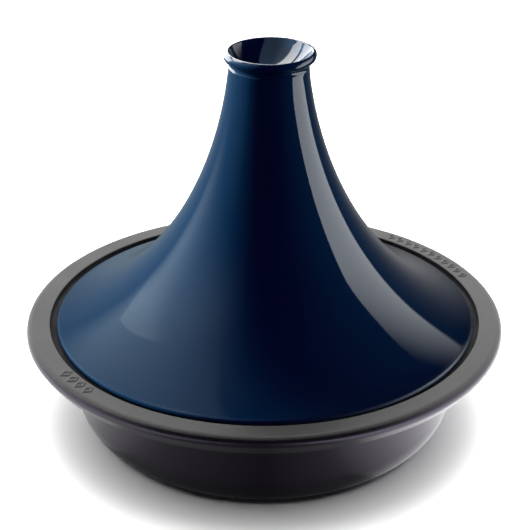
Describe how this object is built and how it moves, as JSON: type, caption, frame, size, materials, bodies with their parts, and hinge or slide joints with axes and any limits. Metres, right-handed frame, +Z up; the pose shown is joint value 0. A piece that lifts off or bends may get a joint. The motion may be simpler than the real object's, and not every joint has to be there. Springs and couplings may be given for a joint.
{
  "type": "tagine pot",
  "caption": "Round cast-iron cooking dish with a wide flat rim, under a tall flared hollow stoneware lid with a cupped knob that lifts straight off.",
  "frame": {"origin": "centre of the dish's underside, on the surface that the pot stands on", "axes": "+Z up along the pot's axis; the smaller row of raised lozenges on the rim is towards +X +Y and the larger one towards -X -Y"},
  "size_m": [0.32, 0.32, 0.262],
  "materials": {
    "cast_iron": "matte black enamelled or seasoned cast iron with a fine sandy grain",
    "glazed_stoneware": "glossy dark blue glaze, bare stoneware on the foot"
  },
  "bodies": {
    "dish": {"base_dish": "cast_iron"},
    "lid": {"conical_lid": "glazed_stoneware"}
  },
  "joints": [
    {"name": "lid_lift", "type": "slide", "parent": "dish", "child": "lid", "axis": [0, 0, 1], "range_m": [0, 0.2]}
  ]
}
